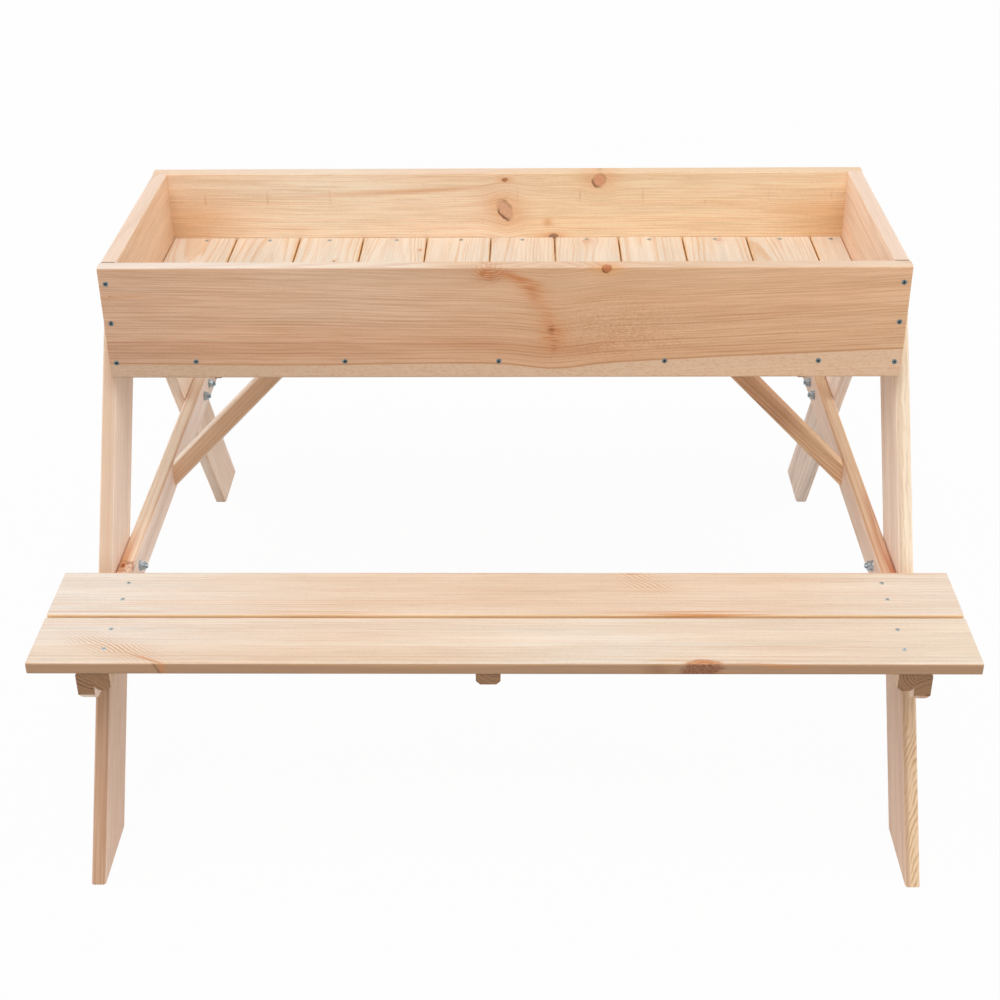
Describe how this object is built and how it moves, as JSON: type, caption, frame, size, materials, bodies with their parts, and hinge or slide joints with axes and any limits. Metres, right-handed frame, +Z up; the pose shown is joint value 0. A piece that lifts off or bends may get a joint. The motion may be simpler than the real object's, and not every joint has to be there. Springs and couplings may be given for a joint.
{
  "type": "picnic table with sandbox",
  "caption": "Wooden children's picnic table whose top is an open sand tray, on leaning legs with a fixed bench along each side.",
  "frame": {"origin": "on the ground under the middle of the tray", "axes": "+X along the table and its benches, -Y towards the front bench, +Z up"},
  "size_m": [1, 0.96, 0.617],
  "materials": {
    "tray_wood": "planed, untreated",
    "floor_wood": "planed, untreated",
    "frame_wood": "planed, untreated",
    "seat_wood": "planed, untreated",
    "zinc_steel": "zinc plated"
  },
  "bodies": {
    "root": {"back_bench_inner_board": "seat_wood", "back_bench_left_cleat": "frame_wood", "back_bench_middle_cleat": "frame_wood", "back_bench_outer_board": "seat_wood", "back_bench_right_cleat": "frame_wood", "bolt_nuts": "zinc_steel", "bolt_washers": "zinc_steel", "carriage_bolts": "zinc_steel", "floor_back_batten": "frame_wood", "floor_board_01": "floor_wood", "floor_board_02": "floor_wood", "floor_board_03": "floor_wood", "floor_board_04": "floor_wood", "floor_board_05": "floor_wood", "floor_board_06": "floor_wood", "floor_board_07": "floor_wood", "floor_board_08": "floor_wood", "floor_board_09": "floor_wood", "floor_board_10": "floor_wood", "floor_board_11": "floor_wood", "floor_front_batten": "frame_wood", "floor_middle_batten": "frame_wood", "front_bench_inner_board": "seat_wood", "front_bench_left_cleat": "frame_wood", "front_bench_middle_cleat": "frame_wood", "front_bench_outer_board": "seat_wood", "front_bench_right_cleat": "frame_wood", "left_back_leg": "frame_wood", "left_brace": "frame_wood", "left_crossbar": "frame_wood", "left_front_leg": "frame_wood", "right_back_leg": "frame_wood", "right_brace": "frame_wood", "right_crossbar": "frame_wood", "right_front_leg": "frame_wood", "tray_back_board": "tray_wood", "tray_front_board": "tray_wood", "tray_left_board": "tray_wood", "tray_right_board": "tray_wood"}
  },
  "joints": []
}
